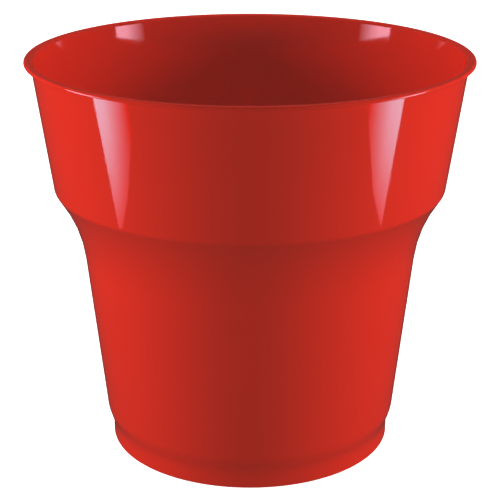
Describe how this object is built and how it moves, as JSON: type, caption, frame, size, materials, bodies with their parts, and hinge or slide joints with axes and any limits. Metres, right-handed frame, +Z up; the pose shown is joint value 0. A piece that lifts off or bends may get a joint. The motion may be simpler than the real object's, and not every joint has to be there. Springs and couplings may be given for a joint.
{
  "type": "sand bucket",
  "caption": "Round sand bucket moulded in glossy plastic, without a handle, with a turned-out lip, a shoulder below a wider upper wall and a short stepped foot.",
  "frame": {"origin": "centre of the ring that the bucket stands on", "axes": "+Z up along the bucket's axis, out of its mouth"},
  "size_m": [0.18, 0.18, 0.1637],
  "materials": {
    "red_plastic": "glossy, self-coloured moulding"
  },
  "bodies": {
    "root": {"bucket": "red_plastic"}
  },
  "joints": []
}
